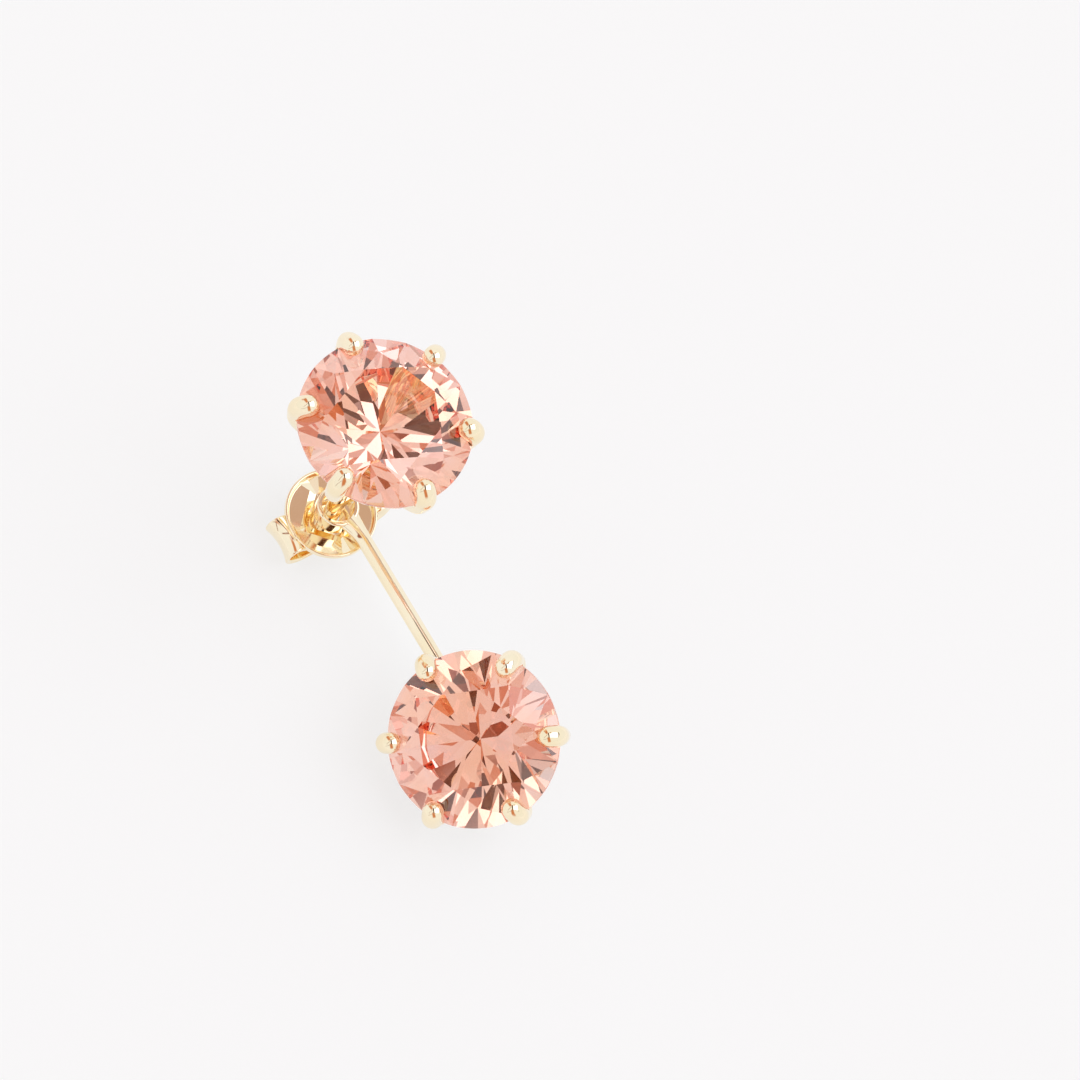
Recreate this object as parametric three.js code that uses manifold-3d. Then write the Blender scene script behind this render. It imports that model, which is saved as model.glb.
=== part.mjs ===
// Ear jacket: a six-claw stud whose post carries a second, hanging six-claw setting (the jacket)
// and a butterfly clutch. Millimetres, +Z up, standing on z = 0.
//
// Everything on the stud is drawn on its own axis: the stone's girdle lies in z = 0, the stone
// faces +Z and the post runs down -Z. The jacket's bar leaves the post along +X, and the clutch's
// two wings lie along +Y and -Y.
import * as THREE from 'three';
import { mergeVertices } from 'three/addons/utils/BufferGeometryUtils.js';
import Module from 'manifold-3d';

const wasm = await Module();
wasm.setup();

// --- Driving dimensions (mm, degrees) ---

const stone = {
  radius: 4,              // an 8 mm round brilliant
  tableRatio: 0.58,       // table corner radius to stone radius
  crownAngle: 34.5,
  pavilionAngle: 40.8,
  starReach: 0.5,         // how far the star facets reach from the table to the girdle
  lowerReach: 0.77,       // how far the lower girdle facets reach from the girdle to the culet
  girdle: 0.24,           // girdle height at the corners of the main facets
  girdleSides: 48,
};
const seatGap = 0.06;     // clearance between a stone and its claws

const claw = {
  count: 6,
  radius: 0.44,
  tipRadius: 0.47,
  sides: 10,
  steps: 10,
  tipSides: 8,
  // centre line of a claw, as distance from the stone's axis and height over the girdle
  path: [
    { out: 0.7, up: -3.64 },
    { out: 1.5, up: -3.42 },
    { out: 2.45, up: -2.55 },
    { out: 3.25, up: -1.6 },
    { out: 3.82, up: -0.75 },
    { out: 3.98, up: 0 },
    { out: 3.97, up: 0.4 },
    { out: 3.8, up: 0.7 },
  ],
};
const rail = { radius: 2.65, up: -2.35, wire: 0.26, wireSides: 8, sides: 36 };  // ties the claws
const foot = { radius: 1.35, top: -3.7, bottom: -4.12, sides: 32 };  // the claws grow out of it
const studTurn = -5;            // first claw, from the bar's direction
const jacketTurn = 2.2;

const post = { radius: 0.4, end: -13.05, chamfer: 0.12, root: 0.1, sides: 24 };

const eyelet = {
  bore: 0.75,
  radius: 0.98,
  front: -10.15,
  length: 1.0,
  rim: 0.08,
  sides: 36,
  playX: 0.1,      // how far the loose eyelet lies from the post's axis
  playY: 0.06,
};
const bar = { radius: 0.35, sides: 14, up: -10.42, side: 0.36 };
const barRoot = { radius: 0.8, thickness: 0.5, length: 2.1 };   // the bar widens into the eyelet
const jacketReach = 12.64;      // from the post's axis to the jacket setting's axis
const jacketStoneUp = 1.75;     // girdle height over the bar's centre line, along the setting's axis
const jacketTwist = 35;         // the jacket stone's turn about the bar
const jacketPitch = 4.6;        // and its lean outwards along the bar

const clutch = {
  hole: 0.46,
  flatRadius: 1.0,
  discRadius: 2.13,
  floor: -11.75,      // height of the dish's flat middle (front face)
  rim: -11.2,         // height of its raised rim
  thickness: 0.22,
  sides: 48,
};
const wing = {
  thickness: 0.22,
  width: 1.9,
  slices: 6,
  flare: 0.2,         // how much the roll spreads towards its two ends
  rollOut: 1.6,       // the roll's middle
  rollUp: -12.2,
  // centre line of one wing, as distance from the post's axis and height
  path: [
    { out: 1.0, up: -11.86 },
    { out: 1.65, up: -11.72 },
    { out: 2.1, up: -11.42 },
    { out: 2.45, up: -11.6 },
    { out: 2.52, up: -12.05 },
    { out: 2.3, up: -12.6 },
    { out: 1.8, up: -12.97 },
    { out: 1.15, up: -12.95 },
    { out: 0.7, up: -12.6 },
    { out: 0.72, up: -12.25 },
  ],
  steps: 24,
};

// --- Helpers ---

const radians = THREE.MathUtils.degToRad;

function toSolid(geometry) {
  const bare = geometry.clone();
  bare.deleteAttribute('normal');
  bare.deleteAttribute('uv');
  const merged = mergeVertices(bare, 1e-5);
  const mesh = new wasm.Mesh({
    numProp: 3,
    vertProperties: new Float32Array(merged.attributes.position.array),
    triVerts: new Uint32Array(merged.index.array),
  });
  return new wasm.Manifold(mesh);
}

function toGeometry(solid) {
  const mesh = solid.getMesh();
  const geometry = new THREE.BufferGeometry();
  geometry.setAttribute('position', new THREE.BufferAttribute(mesh.vertProperties, 3));
  geometry.setIndex(new THREE.BufferAttribute(mesh.triVerts, 1));
  geometry.computeVertexNormals();
  return geometry;
}

function joined(geometries) {
  return geometries.map(toSolid).reduce((whole, piece) => whole.add(piece));
}

// A solid of revolution about Z from a closed profile of [out, up] points.
function turned(profile, sides) {
  const points = profile.map(([out, up]) => new THREE.Vector2(out, up));
  points.push(points[0].clone());
  return new THREE.LatheGeometry(points, sides).rotateX(Math.PI / 2);
}

// A ring of round wire about Z.
function wireRing(radius, up, wire, wireSides, sides) {
  const profile = [];
  for (let i = 0; i < wireSides; i++) {
    const angle = (2 * Math.PI * i) / wireSides;
    profile.push([radius + wire * Math.cos(angle), up + wire * Math.sin(angle)]);
  }
  return turned(profile, sides);
}

// --- Stones ---

// A many-sided pyramid whose faces slope by the given angle and cross z = 0 at the distance
// `reach` from the axis. `aim` is the direction that its first face looks in.
function facetPyramid(sides, slope, reach, aim) {
  const drop = 2 * stone.radius;
  const rise = reach * Math.tan(slope);
  const spread = (reach + drop / Math.tan(slope)) / Math.cos(Math.PI / sides);
  const cone = new THREE.ConeGeometry(spread, rise + drop, sides);
  cone.translate(0, (rise - drop) / 2, 0);
  cone.rotateX(Math.PI / 2);
  cone.rotateZ(aim - Math.PI / sides);
  return cone;
}

// A round brilliant, girdle in z = 0, table up. `grow` moves every face outwards by that much.
function brilliant(grow) {
  const { radius, tableRatio, starReach, lowerReach, girdle, girdleSides } = stone;
  const eighth = Math.PI / 8;
  const sixteenth = Math.PI / 16;
  const crownSlope = radians(stone.crownAngle);
  const pavilionSlope = radians(stone.pavilionAngle);

  const table = radius * tableRatio;
  const crownHeight = (radius - table) * Math.tan(crownSlope);
  const tableEdge = table * Math.cos(eighth);
  const starTip = tableEdge + (radius - tableEdge) * starReach;
  const starTipHeight = (radius - starTip * Math.cos(eighth)) * Math.tan(crownSlope);
  const starSlope = Math.atan((crownHeight - starTipHeight) / (starTip - tableEdge));
  const halfReach = radius * Math.cos(sixteenth);
  const upperSlope = Math.atan(starTipHeight / (halfReach - starTip * Math.cos(sixteenth)));

  const lowerTip = radius * (1 - lowerReach);
  const lowerTipDepth = (radius - lowerTip * Math.cos(eighth)) * Math.tan(pavilionSlope);
  const lowerSlope = Math.atan(lowerTipDepth / (halfReach - lowerTip * Math.cos(sixteenth)));

  const starCross = tableEdge + crownHeight / Math.tan(starSlope);
  const crown = [
    [8, crownSlope, radius, 0],
    [8, starSlope, starCross, eighth],
    [16, upperSlope, halfReach, sixteenth],
  ];
  const pavilion = [
    [8, pavilionSlope, radius, 0],
    [16, lowerSlope, halfReach, sixteenth],
  ];

  const depth = 2 * radius;
  const body = new THREE.CylinderGeometry(radius + grow, radius + grow, depth, girdleSides);
  body.rotateX(Math.PI / 2);
  body.translate(0, 0, girdle / 2 + crownHeight + grow - depth / 2);
  let solid = toSolid(body);
  for (const [sides, slope, reach, aim] of crown) {
    const cone = facetPyramid(sides, slope, reach + grow / Math.sin(slope), aim);
    solid = solid.intersect(toSolid(cone.translate(0, 0, girdle / 2)));
  }
  for (const [sides, slope, reach, aim] of pavilion) {
    const cone = facetPyramid(sides, slope, reach + grow / Math.sin(slope), aim);
    solid = solid.intersect(toSolid(cone.rotateX(Math.PI).translate(0, 0, -girdle / 2)));
  }
  return solid;
}

// --- Six-claw setting ---

function clawSolid() {
  const line = new THREE.CatmullRomCurve3(
    claw.path.map(({ out, up }) => new THREE.Vector3(out, 0, up)),
  );
  const section = new THREE.Shape();
  section.absarc(0, 0, claw.radius, 0, 2 * Math.PI);
  const wire = new THREE.ExtrudeGeometry(section, {
    steps: claw.steps,
    curveSegments: claw.sides / 2,
    extrudePath: line,
  });
  const end = claw.path[claw.path.length - 1];
  const tip = new THREE.SphereGeometry(claw.tipRadius, claw.sides, claw.tipSides);
  tip.translate(end.out, 0, end.up);
  return joined([wire, tip]);
}

function sixClawSetting(turn) {
  const footProfile = [[0, foot.top], [0, foot.bottom], [foot.radius, foot.bottom],
    [foot.radius, foot.top]];
  let setting = joined([
    turned(footProfile, foot.sides),
    wireRing(rail.radius, rail.up, rail.wire, rail.wireSides, rail.sides),
  ]);
  const oneClaw = clawSolid();
  for (let i = 0; i < claw.count; i++) {
    setting = setting.add(oneClaw.rotate([0, 0, turn + (360 * i) / claw.count]));
  }
  return setting.subtract(brilliant(seatGap));
}

// --- Pieces ---

function studSettingSolid() {
  const { radius, end, chamfer, root } = post;
  const start = foot.top - root;
  const profile = [[0, start], [0, end], [radius - chamfer, end], [radius, end + chamfer],
    [radius, start]];
  return sixClawSetting(studTurn).add(toSolid(turned(profile, post.sides)));
}

function jacketSettingMatrix() {
  const turn = new THREE.Euler(radians(jacketTwist), radians(jacketPitch), 0, 'YXZ');
  const matrix = new THREE.Matrix4().makeRotationFromEuler(turn);
  const up = new THREE.Vector3(0, 0, jacketStoneUp).applyMatrix4(matrix);
  return matrix.setPosition(jacketReach + up.x, bar.side + up.y, bar.up + up.z);
}

// The wide end of the bar: a collar round the eyelet that runs in to the bar's own thickness.
function barRootSolid() {
  const collar = new THREE.CylinderGeometry(
    barRoot.radius, barRoot.radius, barRoot.thickness, eyelet.sides,
  );
  collar.rotateX(Math.PI / 2);
  collar.translate(eyelet.playX, eyelet.playY, bar.up);
  const neck = new THREE.CylinderGeometry(bar.radius, bar.radius, bar.radius, bar.sides);
  neck.rotateZ(Math.PI / 2);
  neck.translate(barRoot.length, bar.side, bar.up);
  return wasm.Manifold.hull([toSolid(collar), toSolid(neck)]);
}

function jacketSolid() {
  const { bore, radius, front, length, rim, playX, playY } = eyelet;
  const back = front - length;
  const barrel = turned([
    [0, front], [0, back], [radius - rim, back], [radius, back + rim],
    [radius, front - rim], [radius - rim, front],
  ], eyelet.sides);
  const hole = turned([
    [0, front + rim], [0, back - rim], [bore + 2 * rim, back - rim], [bore, back + rim],
    [bore, front - rim], [bore + 2 * rim, front + rim],
  ], eyelet.sides);
  barrel.translate(playX, playY, 0);
  hole.translate(playX, playY, 0);
  const barEnd = jacketReach - rail.radius;
  const rod = new THREE.CylinderGeometry(bar.radius, bar.radius, barEnd - playX, bar.sides);
  rod.rotateZ(Math.PI / 2);
  rod.translate((playX + barEnd) / 2, bar.side, bar.up);
  const ring = joined([barrel, rod]).add(barRootSolid()).subtract(toSolid(hole));
  const setting = toGeometry(sixClawSetting(jacketTurn)).applyMatrix4(jacketSettingMatrix());
  return ring.add(toSolid(setting));
}

// The roll spreads outwards and up towards the two ends of its width.
function flareRoll(strip) {
  const at = strip.attributes.position;
  for (let i = 0; i < at.count; i++) {
    const across = (2 * at.getZ(i)) / wing.width;
    const spread = wing.flare * across * across * Math.max(0, at.getX(i) - wing.rollOut);
    const rise = spread * Math.max(0, at.getY(i) - wing.rollUp);
    at.setXYZ(i, at.getX(i) + spread, at.getY(i) + rise, at.getZ(i));
  }
}

function wingSolid() {
  const line = new THREE.CatmullRomCurve3(
    wing.path.map(({ out, up }) => new THREE.Vector3(out, up, 0)),
  );
  const half = wing.thickness / 2;
  const left = [];
  const right = [];
  for (let i = 0; i <= wing.steps; i++) {
    const at = line.getPoint(i / wing.steps);
    const along = line.getTangent(i / wing.steps);
    left.push(new THREE.Vector2(at.x - along.y * half, at.y + along.x * half));
    right.push(new THREE.Vector2(at.x + along.y * half, at.y - along.x * half));
  }
  const outline = new THREE.Shape([...left, ...right.reverse()]);
  const strip = new THREE.ExtrudeGeometry(outline, {
    depth: wing.width,
    steps: wing.slices,
    bevelEnabled: false,
  });
  strip.translate(0, 0, -wing.width / 2);
  flareRoll(strip);
  strip.rotateX(Math.PI / 2);
  strip.rotateZ(Math.PI / 2);
  return toSolid(strip);
}

function clutchSolid() {
  const { hole, flatRadius, discRadius, floor, rim, thickness, sides } = clutch;
  const dish = turned([
    [hole, floor], [hole, floor - thickness], [flatRadius, floor - thickness],
    [discRadius, rim - thickness], [discRadius, rim], [discRadius - thickness, rim],
    [flatRadius, floor],
  ], sides);
  const oneWing = wingSolid();
  return toSolid(dish).add(oneWing).add(oneWing.rotate([0, 0, 180]));
}

// --- Assembly ---

const gold = { color: 0xe9cf9b, metalness: 1, roughness: 0.12 };
const peach = { color: 0xf2a58c, metalness: 0, roughness: 0.05 };

function named(name, solid, look) {
  const mesh = new THREE.Mesh(toGeometry(solid), new THREE.MeshStandardMaterial(look));
  mesh.name = name;
  return mesh;
}

const jacketStone = named('jacket_stone', brilliant(0), peach);
jacketStone.applyMatrix4(jacketSettingMatrix());

const earring = new THREE.Group();
earring.add(named('stud_setting', studSettingSolid(), gold));
earring.add(named('stud_stone', brilliant(0), peach));
earring.add(named('clutch', clutchSolid(), gold));
earring.add(named('jacket', jacketSolid(), gold));
earring.add(jacketStone);

// It stands on the clutch's wings and the jacket's foot, centred over the origin.
const box = new THREE.Box3().setFromObject(earring, true);
const middle = box.getCenter(new THREE.Vector3());
earring.position.set(-middle.x, -middle.y, -box.min.z);

export default earring;
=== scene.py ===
"""One ear jacket: a six-claw stud, a hanging jacket with a second stone, and a butterfly clutch.

The panel holds sizes in metres. Pieces are shaped in millimetres on the stud's own axis: the
stone's girdle at height 0, the post running down, and the jacket's bar leaving along +X.
settle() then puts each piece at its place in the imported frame, in metres."""

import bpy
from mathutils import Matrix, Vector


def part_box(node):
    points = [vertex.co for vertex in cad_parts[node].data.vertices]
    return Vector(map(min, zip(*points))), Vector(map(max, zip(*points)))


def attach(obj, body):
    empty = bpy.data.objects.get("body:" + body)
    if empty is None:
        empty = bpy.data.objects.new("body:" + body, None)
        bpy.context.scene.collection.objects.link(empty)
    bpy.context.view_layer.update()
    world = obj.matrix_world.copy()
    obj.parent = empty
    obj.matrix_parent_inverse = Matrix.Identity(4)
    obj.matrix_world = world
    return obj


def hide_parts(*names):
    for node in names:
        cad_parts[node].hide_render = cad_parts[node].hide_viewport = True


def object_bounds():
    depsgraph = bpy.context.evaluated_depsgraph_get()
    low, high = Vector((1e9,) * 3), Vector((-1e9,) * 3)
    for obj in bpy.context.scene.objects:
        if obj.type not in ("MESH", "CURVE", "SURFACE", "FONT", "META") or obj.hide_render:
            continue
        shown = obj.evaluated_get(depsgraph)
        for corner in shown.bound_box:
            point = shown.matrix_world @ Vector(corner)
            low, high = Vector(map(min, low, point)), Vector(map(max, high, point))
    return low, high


bl_info = {
    "name": "Ear Jacket",
    "version": (1, 0, 0),
    "blender": (4, 5, 0),
    "location": "3D View > Sidebar > Ear Jacket",
    "description": "Builds a six-claw stud with a hanging bar jacket and a butterfly clutch",
    "category": "Add Mesh",
}

import math

import bmesh
import bpy
from bpy.props import FloatProperty, FloatVectorProperty, IntProperty, PointerProperty
from mathutils import Matrix, Vector

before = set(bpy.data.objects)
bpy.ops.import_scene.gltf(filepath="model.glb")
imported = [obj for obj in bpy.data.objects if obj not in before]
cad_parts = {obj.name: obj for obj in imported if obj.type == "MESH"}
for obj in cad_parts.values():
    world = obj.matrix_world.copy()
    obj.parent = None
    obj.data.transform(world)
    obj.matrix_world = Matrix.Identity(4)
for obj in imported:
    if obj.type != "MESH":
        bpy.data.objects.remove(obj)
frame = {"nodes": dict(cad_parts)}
CAD_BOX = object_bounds()

MM = 0.001
# edges duller than this are shaded smooth, on turned and drawn metal and on the pressed clutch
SMOOTH_UP_TO = math.radians(35)
PRESSED_SMOOTH_UP_TO = math.radians(14)
# the rounding of a plain worn edge, in millimetres
EDGE = 0.1
# how far a cutter of the clutch's plate stands clear above it, in millimetres
CLEAR = 0.1


# --- Sizes and colours that a user would change ---


def length(name, description, millimetres):
    return FloatProperty(
        name=name, description=description, default=millimetres * MM, unit="LENGTH", precision=5
    )


def angle(name, description, degrees):
    return FloatProperty(
        name=name, description=description, default=math.radians(degrees), unit="ROTATION"
    )


def ratio(name, description, value, top=1.0):
    return FloatProperty(
        name=name, description=description, default=value, min=0.0, max=top, subtype="FACTOR"
    )


def number(name, description, value):
    return FloatProperty(name=name, description=description, default=value)


def count(name, description, value):
    return IntProperty(name=name, description=description, default=value, min=3)


def colour(name, description, value):
    return FloatVectorProperty(
        name=name, description=description, default=value, min=0.0, max=1.0, subtype="COLOR"
    )


def light(name, description, value):
    return FloatVectorProperty(
        name=name, description=description, default=value, min=0.0, soft_max=4.0, subtype="COLOR"
    )


class EarJacketStone(bpy.types.PropertyGroup):
    """The round brilliant, cut alike for the stud and the jacket"""

    radius: length("Radius", "Half the stone's width across its girdle", 4.0)
    table: ratio("Table", "Radius of the table's corners over the stone's radius", 0.58)
    crown: angle("Crown angle", "Slope of the main crown facets", 34.5)
    pavilion: angle("Pavilion angle", "Slope of the main pavilion facets", 40.8)
    star: ratio("Star reach", "How far the star facets run from the table to the girdle", 0.5)
    lower: ratio("Lower reach", "How far the lower facets run from the girdle to the culet", 0.77)
    girdle: length("Girdle", "Height of the girdle at the corners of the main facets", 0.24)
    sides: count("Girdle sides", "Sides of the girdle before the facets are cut", 128)
    gap: length("Seat gap", "Clearance between the stone and its claws", 0.06)
    tint: colour("Tint", "Colour of light after a few millimetres of stone", (0.95, 0.43, 0.24))
    density: number("Depth of colour", "How strongly the tint grows with depth, per metre", 84.0)
    warm_zone: colour("Warm zones", "Cast of the stone where it is most orange", (1.0, 0.86, 0.72))
    cool_zone: colour("Cool zones", "Cast of the stone where it is most pink", (1.0, 0.96, 1.0))
    refraction: number("Refraction", "Index of refraction of the stone", 1.96)


class EarJacketSetting(bpy.types.PropertyGroup):
    """The six claws with their rail and foot, and the stud's post"""

    claws: count("Claws", "Number of claws round each stone", 6)
    thickness: length("Claw radius", "Half the thickness of a claw's wire", 0.44)
    tip: length("Tip radius", "Radius of a claw's rounded tip", 0.49)
    claw_sides: count("Claw sides", "Sides of a claw's round section", 28)
    rail_radius: length("Rail radius", "Radius of the ring that ties the claws", 2.65)
    rail_height: length("Rail height", "Height of the ring from the girdle", -2.35)
    rail_wire: length("Rail wire", "Half the thickness of the ring's wire", 0.26)
    foot_radius: length("Foot radius", "Radius of the disc that the claws grow from", 1.35)
    foot_top: length("Foot top", "Height of the disc's upper face", -3.7)
    foot_bottom: length("Foot bottom", "Height of the disc's lower face", -4.12)
    stud_turn: angle("Stud turn", "First claw of the stud, from the bar's direction", -5.0)
    jacket_turn: angle("Jacket turn", "First claw of the jacket, from the bar's direction", 2.2)
    post_radius: length("Post radius", "Half the post's thickness", 0.4)
    post_end: length("Post end", "Height of the post's tip", -13.05)
    groove: length("Groove", "Depth of the groove that the clutch clicks into", 0.07)
    groove_up: length("Groove place", "Middle of the groove, from the post's tip", 1.075)
    groove_length: length("Groove length", "Length of its floor and of each slope", 0.15)
    post_round: length("Post rounding", "Rounding of the post's tip", 0.24)
    solder: length("Solder", "Fillet of solder between the post and the disc", 0.22)


class EarJacketJacket(bpy.types.PropertyGroup):
    """The eyelet, the bar and the place of the hanging setting"""

    bore: length("Bore", "Radius of the eyelet's hole", 0.75)
    radius: length("Eyelet radius", "Outer radius of the eyelet", 0.98)
    front: length("Eyelet front", "Height of the eyelet's upper rim", -10.15)
    depth: length("Eyelet depth", "Length of the eyelet along the post", 1.0)
    play_x: length("Play along", "How far the loose eyelet lies off the post, along the bar", 0.1)
    play_y: length("Play across", "How far the loose eyelet lies off the post, sideways", 0.06)
    bar: length("Bar radius", "Half the bar's thickness", 0.35)
    bar_height: length("Bar height", "Height of the bar's centre line", -10.42)
    bar_side: length("Bar side", "How far the bar lies to the side of the post", 0.36)
    root_width: length("Root width", "Half the width of the bar where it meets the eyelet", 0.8)
    root_height: length("Root height", "Half the thickness of the bar there", 0.25)
    root_length: length("Root length", "Where the bar reaches its own thickness", 2.1)
    root_curve: number("Root curve", "How hollow the root's sides are, 1 for straight", 1.6)
    reach: length("Reach", "From the post to the hanging stone's axis", 12.64)
    stone_up: length("Stone height", "Girdle of the hanging stone over the bar", 1.75)
    twist: angle("Twist", "Turn of the hanging stone about the bar", 35.0)
    pitch: angle("Pitch", "Lean of the hanging stone along the bar", 4.6)


class EarJacketClutch(bpy.types.PropertyGroup):
    """The butterfly clutch"""

    hole: length("Hole", "Radius of the hole for the post", 0.46)
    flat: length("Dimple radius", "Radius of the dimple round the hole", 0.9)
    radius: length("Disc radius", "Outer radius of the dish", 2.13)
    floor: length("Hole floor", "Height of the front face at the hole", -11.75)
    funnel: length("Funnel", "Width of the slope at the hole's upper edge", 0.05)
    plate: length("Plate", "Height of the front face inside the rim", -11.48)
    recess: length("Recess", "Half the width of the sunk square round the hole", 0.85)
    recess_floor: length("Recess floor", "Height of the sunk square", -11.58)
    bevel: length("Bevel", "Width of the slope round the sunk square", 0.32)
    rim: length("Dish rim", "Height of the dish's rim", -11.2)
    rim_width: length("Rim width", "Thickness of the dish's rim", 0.13)
    rim_foot: length("Rim foot", "From the disc's edge to where the rim meets the plate", 0.19)
    fold_start: length("Fold start", "Inner end of the plate's pressed fold, from the post", 0.95)
    fold_margin: length("Fold margin", "From the fold's outer end to the disc's edge", 0.22)
    fold_width: length("Fold width", "Half the fold's width at its outer end", 0.5)
    fold_depth: length("Fold depth", "How deep the fold is pressed at its outer end", 0.13)
    fold_start_depth: length("Fold start depth", "How deep the fold is at its inner end", 0.1)
    sheet: length("Sheet", "Thickness of the sheet metal", 0.22)
    width: length("Wing width", "Width of a wing", 1.9)
    flare: ratio("Flare", "How much a wing's roll spreads towards its two ends", 0.2)
    end_thickness: ratio("End thickness", "Share of the sheet's thickness at its end", 0.35)
    roll_out: length("Roll out", "The roll's middle, from the post", 1.6)
    roll_up: length("Roll height", "Height of the roll's middle", -12.2)


class EarJacketGold(bpy.types.PropertyGroup):
    """The polished gold"""

    light: colour("Light gold", "Colour of the gold where it is palest", (0.98, 0.88, 0.68))
    deep: colour("Deep gold", "Colour of the gold where it is richest", (0.96, 0.83, 0.58))
    polish: ratio("Polish", "Roughness where the polish is best", 0.03)
    wear: ratio("Wear", "Roughness where the polish is worn", 0.11)
    scratch: ratio("Scratches", "Strength of the finest polishing marks", 0.02)


class EarJacketStage(bpy.types.PropertyGroup):
    """Floor, light and camera"""

    floor: colour("Floor", "Colour of the floor", (0.21, 0.215, 0.22))
    floor_patch: ratio("Floor patches", "Brightness of the floor's darker patches", 0.985)
    floor_size: length("Floor size", "Width of the floor", 1200.0)
    # the floor's glow is painted light: the floor is no lamp, and its glow lightens the shadows
    # under the earring
    glow: number("Floor glow", "Light that the backlit floor gives off", 0.715)
    paper: light("Tent", "Brightness of the tent's white paper", (0.95, 0.96, 0.97))
    softbox: light("Softbox", "Brightness of the large soft light", (2.1, 2.05, 2.15))
    frame: light("Frame", "Brightness of the softbox's frame", (0.08, 0.03, 0.015))
    pole: light("Poles", "Brightness of the tent's two poles", (0.34, 0.12, 0.07))
    seam: light("Seam", "Brightness of the seam where the tent meets the table", (0.5, 0.46, 0.36))
    curtain: light("Curtain", "Brightness of the two warm curtains", (0.66, 0.25, 0.11))
    blush: light("Blush", "Brightness of the small card that the clutch mirrors", (0.62, 0.42, 0.34))
    azimuth: angle("Azimuth", "Camera's direction round the earring", 27.9)
    elevation: angle("Elevation", "Camera's height over the horizon", 65.3)
    roll: angle("Roll", "Camera's turn about its own line of sight", 33.0)
    view_width: length("View width", "Width of what the camera sees at the earring", 48.3)
    aim_right: length("Aim right", "Aim to the right of the earring's middle", 5.07)
    aim_up: length("Aim up", "Aim over the earring's middle", 2.3)
    lens: number("Lens", "Focal length in millimetres", 400.0)


class EarJacketSettings(bpy.types.PropertyGroup):
    """All settings of the ear jacket"""

    stone: PointerProperty(type=EarJacketStone, name="Stone", description="The two stones")
    setting: PointerProperty(
        type=EarJacketSetting, name="Setting", description="Claws, rail, foot and post"
    )
    jacket: PointerProperty(type=EarJacketJacket, name="Jacket", description="Eyelet and bar")
    clutch: PointerProperty(type=EarJacketClutch, name="Clutch", description="Butterfly clutch")
    gold: PointerProperty(type=EarJacketGold, name="Gold", description="The polished gold")
    stage: PointerProperty(type=EarJacketStage, name="Stage", description="Floor, light, camera")


def mm(size):
    return size / MM


# --- Meshes, all in millimetres ---


def new_object(name, mesh):
    obj = bpy.data.objects.new(name, mesh)
    bpy.context.scene.collection.objects.link(obj)
    return obj


def discard(*objects):
    for obj in objects:
        data = obj.data
        bpy.data.objects.remove(obj)
        if isinstance(data, bpy.types.Mesh):
            bpy.data.meshes.remove(data)
        elif isinstance(data, bpy.types.Curve):
            bpy.data.curves.remove(data)


def closed_mesh(name, points, faces):
    """A mesh with its doubles merged and its normals turned outwards."""
    mesh = bpy.data.meshes.new(name)
    mesh.from_pydata(points, [], faces)
    made = bmesh.new()
    made.from_mesh(mesh)
    bmesh.ops.remove_doubles(made, verts=made.verts[:], dist=1e-5)
    bmesh.ops.recalc_face_normals(made, faces=made.faces[:])
    made.to_mesh(mesh)
    made.free()
    return mesh


def rounded(corners, steps=8):
    """A closed outline of (out, up) points from corners (out, up, rounding)."""
    outline = []
    for i, (out, up, rounding) in enumerate(corners):
        corner = Vector((out, up))
        if rounding == 0:
            outline.append((out, up))
            continue
        before = (Vector(corners[i - 1][:2]) - corner).normalized()
        after = (Vector(corners[(i + 1) % len(corners)][:2]) - corner).normalized()
        half = before.angle(after) / 2
        centre = corner + (before + after).normalized() * rounding / math.sin(half)
        start = corner + before * rounding / math.tan(half) - centre
        end = corner + after * rounding / math.tan(half) - centre
        for k in range(steps + 1):
            outline.append(tuple(centre + start.slerp(end, k / steps).normalized() * rounding))
    return outline


def revolve(name, outline, sides):
    """A closed outline of (out, up) points turned about the upright axis."""
    points = []
    for out, up in outline:
        for k in range(sides):
            turn = 2 * math.pi * k / sides
            points.append((out * math.cos(turn), out * math.sin(turn), up))
    rings = len(outline)
    faces = []
    for i in range(rings):
        low, high = i * sides, (i + 1) % rings * sides
        for k in range(sides):
            n = (k + 1) % sides
            faces.append((low + k, low + n, high + n, high + k))
    return closed_mesh(name, points, faces)


def loft(name, rings):
    """A skin over rings of points that follow one another, with its two ends closed."""
    sides = len(rings[0])
    points = [point for ring in rings for point in ring]
    faces = []
    for i in range(len(rings) - 1):
        low, high = i * sides, (i + 1) * sides
        for k in range(sides):
            n = (k + 1) % sides
            faces.append((low + k, low + n, high + n, high + k))
    faces.append(tuple(reversed(range(sides))))
    faces.append(tuple(range(len(points) - sides, len(points))))
    return closed_mesh(name, points, faces)


def combine(base, *steps):
    """base with each (operation, object) applied; the other objects are used up."""
    for operation, other in steps:
        modifier = base.modifiers.new("cut", "BOOLEAN")
        modifier.solver = "MANIFOLD"
        modifier.operation = operation
        modifier.object = other
    result = evaluated_mesh(base)
    base.modifiers.clear()
    old = base.data
    base.data = result
    bpy.data.meshes.remove(old)
    discard(*[other for _, other in steps])
    if len(base.data.polygons) == 0:
        raise RuntimeError(f"{base.name} came out empty")
    return base


def evaluated_mesh(obj):
    graph = bpy.context.evaluated_depsgraph_get()
    return bpy.data.meshes.new_from_object(obj.evaluated_get(graph), depsgraph=graph)


def smooth_path(points, steps):
    """A smooth line through (out, up) points: `steps` places on it for each stretch."""
    ends = [2 * Vector(points[0]) - Vector(points[1]), 2 * Vector(points[-1]) - Vector(points[-2])]
    line = [ends[0], *map(Vector, points), ends[1]]
    path = []
    for i in range(1, len(line) - 2):
        a, b, c, d = line[i - 1 : i + 3]
        for k in range(steps):
            t = k / steps
            path.append(
                0.5 * (2 * b + (c - a) * t + (2 * a - 5 * b + 4 * c - d) * t**2
                       + (3 * b - 3 * c + d - a) * t**3)
            )
    path.append(line[-2])
    return path


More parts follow.
